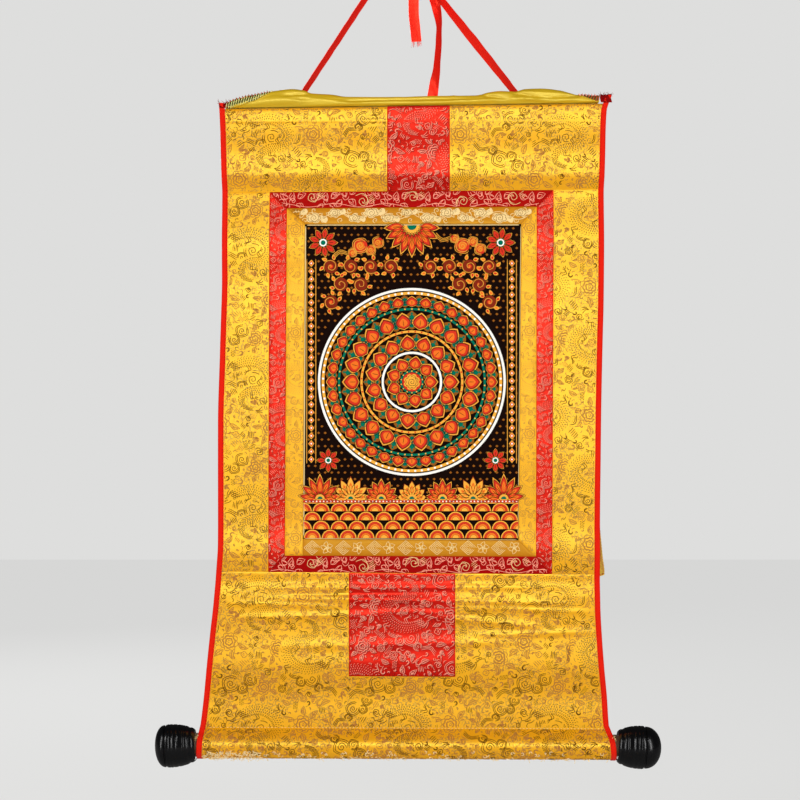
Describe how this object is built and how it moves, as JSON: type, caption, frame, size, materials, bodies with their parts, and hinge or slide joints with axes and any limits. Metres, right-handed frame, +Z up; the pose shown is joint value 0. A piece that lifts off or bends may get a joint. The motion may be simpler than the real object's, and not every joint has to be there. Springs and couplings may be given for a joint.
{
  "type": "thangka scroll painting",
  "caption": "Hanging scroll painting: a printed panel in brocade frames on satin brocade, with bound edges, a thrown-back cover, hanging and tie ribbons, and a roller with turned knobs.",
  "frame": {"origin": "the hook point: the underside of the hanging ribbon where it bends over its hook", "axes": "+Z up along the hanging scroll, +X to the viewer's right, +Y from the viewer to the wall, so that the picture faces -Y"},
  "size_m": [0.4907, 0.0416, 0.7944],
  "materials": {
    "yellow_brocade": "satin weave with raised motifs",
    "red_brocade": "satin weave with raised motifs",
    "gold_brocade": "satin weave with raised motifs",
    "print_cloth": "printed, slightly glossy",
    "red_tape": "plain weave tape",
    "red_ribbon": "glossy satin ribbon",
    "cover_satin": "thin glossy satin",
    "black_lacquer": "glossy, turned",
    "plain_wood": "plain, unpainted"
  },
  "bodies": {
    "root": {"top_panel": "yellow_brocade", "side_strip_left": "yellow_brocade", "side_strip_right": "yellow_brocade", "bottom_panel": "yellow_brocade", "top_door": "red_brocade", "bottom_door": "red_brocade", "red_frame_top": "red_brocade", "red_frame_bottom": "red_brocade", "red_frame_left": "red_brocade", "red_frame_right": "red_brocade", "gold_frame_top": "gold_brocade", "gold_frame_bottom": "gold_brocade", "gold_frame_left": "gold_brocade", "gold_frame_right": "gold_brocade", "picture_panel": "print_cloth", "binding_left": "red_tape", "binding_right": "red_tape", "cover": "cover_satin", "hanging_ribbon": "red_ribbon", "tie_ribbon": "red_ribbon", "top_slat": "plain_wood", "roller_rod": "plain_wood", "knob_left": "black_lacquer", "knob_right": "black_lacquer"}
  },
  "joints": []
}
